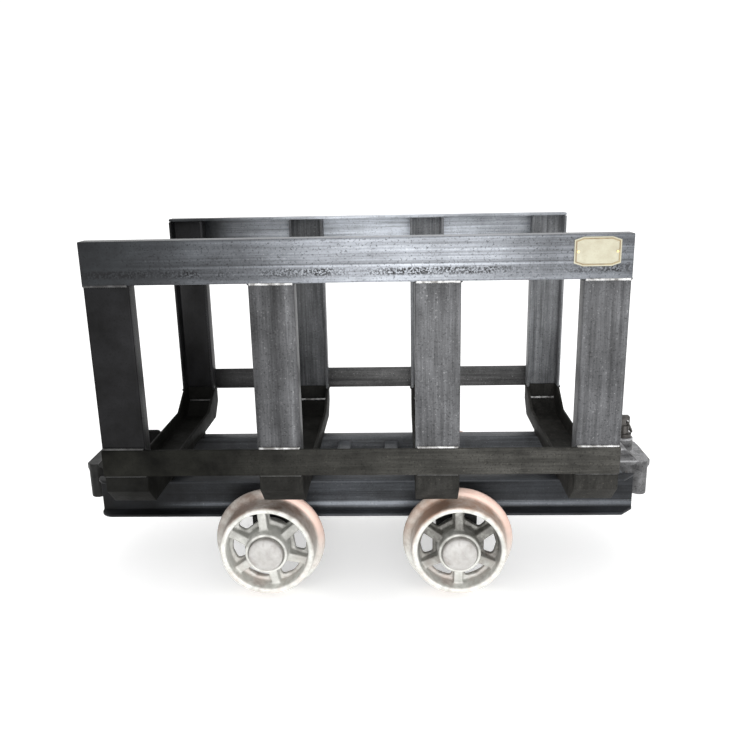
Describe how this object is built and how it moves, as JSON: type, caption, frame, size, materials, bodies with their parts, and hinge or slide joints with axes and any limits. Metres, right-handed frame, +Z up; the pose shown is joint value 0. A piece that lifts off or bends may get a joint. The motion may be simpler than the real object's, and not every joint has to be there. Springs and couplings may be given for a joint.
{
  "type": "mine cart",
  "caption": "Open-sided mine material cart for 600 mm track: channel posts and rails on a sill frame, bumpers, coupling pin and flanged cast wheels.",
  "frame": {"origin": "on the plane under the wheel flanges, midway between the bumpers and between the two sides", "axes": "+X along the track toward the end that carries the coupling pin, +Y across the track toward the side without the plate, +Z up"},
  "size_m": [1.92, 0.928, 1.15],
  "materials": {
    "black_paint": "semi-gloss black enamel, dusty and scuffed",
    "sill_paint": "semi-gloss blue-black enamel, dusty",
    "bumper_paint": "black enamel on rough casting, chipped",
    "fastener_steel": "dull steel",
    "plate_cream": "satin cream enamel",
    "rivet_brass": "dull brass",
    "axle_steel": "dull turned steel",
    "bearing_steel": "ground steel",
    "seal_felt": "oiled felt",
    "seat_iron": "painted rough casting",
    "wheel_iron": "bare cast steel with pink primer and rust on tread and flange",
    "cap_iron": "pale grey cast steel",
    "pin_steel": "dark forged steel"
  },
  "bodies": {
    "frame": {"post_1_near": "black_paint", "post_1_far": "black_paint", "post_2_near": "black_paint", "post_2_far": "black_paint", "post_3_near": "black_paint", "post_3_far": "black_paint", "post_4_near": "black_paint", "post_4_far": "black_paint", "bow_1": "black_paint", "bow_2": "black_paint", "bow_3": "black_paint", "bow_4": "black_paint", "top_rail_near": "black_paint", "top_rail_far": "black_paint", "side_bar_near": "black_paint", "side_bar_far": "black_paint", "bow_packers": "black_paint", "sill_near": "sill_paint", "sill_far": "sill_paint", "end_beam_left": "sill_paint", "end_beam_right": "sill_paint", "mid_beam_left": "sill_paint", "mid_beam_right": "sill_paint", "bumper_left": "bumper_paint", "bumper_right": "bumper_paint", "bumper_bolts": "fastener_steel", "bumper_nuts": "fastener_steel", "blank_plate": "plate_cream", "plate_rivets": "rivet_brass", "axle_left": "axle_steel", "axle_right": "axle_steel", "inner_rings_left": "bearing_steel", "inner_rings_right": "bearing_steel", "axle_nuts": "fastener_steel", "felt_seals": "seal_felt", "axle_u_bolts": "fastener_steel", "axle_u_bolt_nuts": "fastener_steel", "axle_seat_left_near": "seat_iron", "axle_seat_left_far": "seat_iron", "axle_seat_right_near": "seat_iron", "axle_seat_right_far": "seat_iron"},
    "wheel_left_near": {"wheel_left_near": "wheel_iron", "hub_cap_left_near": "cap_iron", "outer_rings_left_near": "bearing_steel"},
    "rollers_left_near": {"rollers_left_near": "bearing_steel"},
    "wheel_left_far": {"wheel_left_far": "wheel_iron", "hub_cap_left_far": "cap_iron", "outer_rings_left_far": "bearing_steel"},
    "rollers_left_far": {"rollers_left_far": "bearing_steel"},
    "wheel_right_near": {"wheel_right_near": "wheel_iron", "hub_cap_right_near": "cap_iron", "outer_rings_right_near": "bearing_steel"},
    "rollers_right_near": {"rollers_right_near": "bearing_steel"},
    "wheel_right_far": {"wheel_right_far": "wheel_iron", "hub_cap_right_far": "cap_iron", "outer_rings_right_far": "bearing_steel"},
    "rollers_right_far": {"rollers_right_far": "bearing_steel"},
    "coupling_pin": {"coupling_pin": "pin_steel"},
    "pin_ring": {"pin_ring": "pin_steel"}
  },
  "joints": [
    {"name": "wheel_left_near_roll", "type": "hinge", "parent": "frame", "child": "wheel_left_near", "pos_m": [-0.3, 0, 0.175], "axis": [0, 1, 0], "continuous": true},
    {"name": "rollers_left_near_orbit", "type": "hinge", "parent": "frame", "child": "rollers_left_near", "pos_m": [-0.3, 0, 0.175], "axis": [0, 1, 0], "continuous": true},
    {"name": "wheel_left_far_roll", "type": "hinge", "parent": "frame", "child": "wheel_left_far", "pos_m": [-0.3, 0, 0.175], "axis": [0, 1, 0], "continuous": true},
    {"name": "rollers_left_far_orbit", "type": "hinge", "parent": "frame", "child": "rollers_left_far", "pos_m": [-0.3, 0, 0.175], "axis": [0, 1, 0], "continuous": true},
    {"name": "wheel_right_near_roll", "type": "hinge", "parent": "frame", "child": "wheel_right_near", "pos_m": [0.3, 0, 0.175], "axis": [0, 1, 0], "continuous": true},
    {"name": "rollers_right_near_orbit", "type": "hinge", "parent": "frame", "child": "rollers_right_near", "pos_m": [0.3, 0, 0.175], "axis": [0, 1, 0], "continuous": true},
    {"name": "wheel_right_far_roll", "type": "hinge", "parent": "frame", "child": "wheel_right_far", "pos_m": [0.3, 0, 0.175], "axis": [0, 1, 0], "continuous": true},
    {"name": "rollers_right_far_orbit", "type": "hinge", "parent": "frame", "child": "rollers_right_far", "pos_m": [0.3, 0, 0.175], "axis": [0, 1, 0], "continuous": true},
    {"name": "coupling_pin_lift", "type": "slide", "parent": "frame", "child": "coupling_pin", "axis": [0, 0, 1], "range_m": [0, 0.18]},
    {"name": "pin_ring_swing", "type": "hinge", "parent": "coupling_pin", "child": "pin_ring", "pos_m": [0.896, 0, 0.47], "axis": [0, -1, 0], "range_deg": [0, 150]}
  ],
  "couplings": [
    {"joint": "rollers_left_near_orbit", "follows": "wheel_left_near_roll", "ratio": 0.57143},
    {"joint": "rollers_left_far_orbit", "follows": "wheel_left_far_roll", "ratio": 0.57143},
    {"joint": "rollers_right_near_orbit", "follows": "wheel_right_near_roll", "ratio": 0.57143},
    {"joint": "rollers_right_far_orbit", "follows": "wheel_right_far_roll", "ratio": 0.57143}
  ]
}
